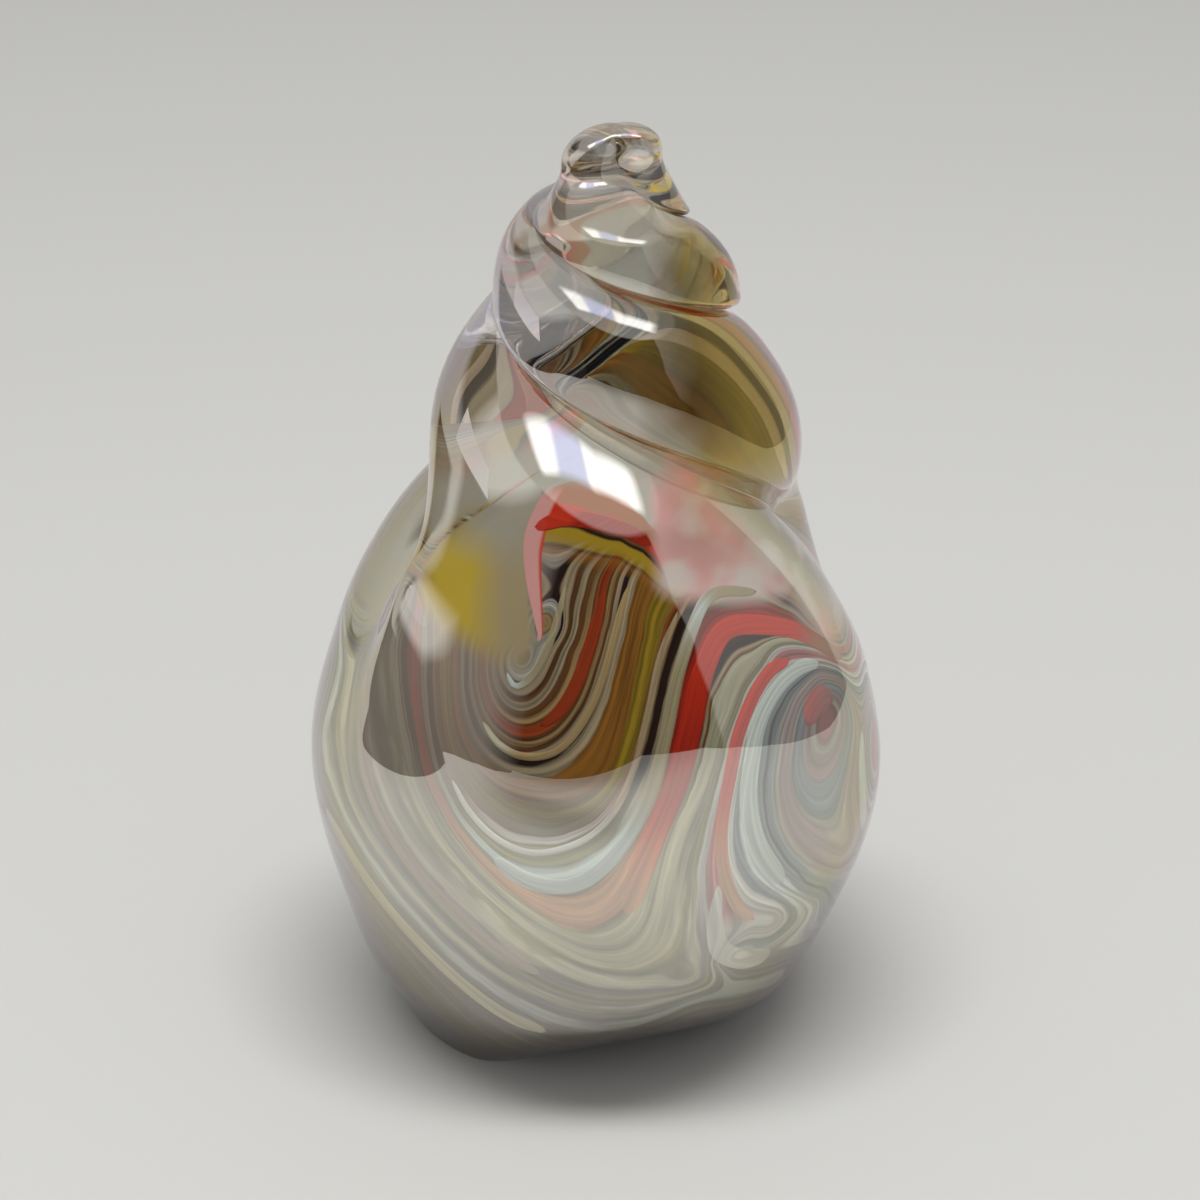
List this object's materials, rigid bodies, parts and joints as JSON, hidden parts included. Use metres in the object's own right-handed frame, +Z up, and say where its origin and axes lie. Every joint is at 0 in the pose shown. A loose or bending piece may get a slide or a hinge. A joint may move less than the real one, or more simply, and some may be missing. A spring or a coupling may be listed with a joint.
{
  "type": "glass paperweight",
  "caption": "Solid glass paperweight shaped like a sea shell, a twisted clear spire over a bulb with a marbled colour core.",
  "frame": {"origin": "a point of the ground resting face, on the axis of the bulb", "axes": "+Z up to the tip of the spire, -Y towards the side with the bright marbled hook, +X to its right"},
  "size_m": [0.0725, 0.0726, 0.1193],
  "materials": {
    "clear_glass": "fire-polished clear glass with a fumed lustre film",
    "marbled_glass": "marbled brown, amber, grey and white glass under the clear casing",
    "red_glass": "opaque red glass trail",
    "orange_glass": "opaque orange-brown glass trail",
    "pink_glass": "pale pink-brown glass trail",
    "blue_glass": "opaque pale blue-grey glass trail",
    "white_glass": "opaque white glass trail",
    "ivory_glass": "opaque ivory glass trail"
  },
  "bodies": {
    "root": {"clear_casing": "clear_glass", "colour_core": "marbled_glass", "red_ribbon": "red_glass", "blue_ribbon": "blue_glass", "white_ribbon": "white_glass", "ivory_ribbon": "ivory_glass", "orange_ribbon": "orange_glass", "hook_ribbon": "blue_glass", "red_crescent": "red_glass", "blue_crescent": "blue_glass", "red_eye": "red_glass", "crown_ribbon": "red_glass", "side_blue_ribbon": "blue_glass", "side_red_ribbon": "red_glass", "arc_ribbon": "pink_glass", "milk_ribbon": "white_glass", "foot_ribbon": "ivory_glass", "back_red_ribbon": "red_glass", "back_blue_ribbon": "blue_glass", "back_white_ribbon": "white_glass", "back_red_crescent": "red_glass", "back_arc_ribbon": "pink_glass", "back_foot_ribbon": "ivory_glass"}
  },
  "joints": []
}
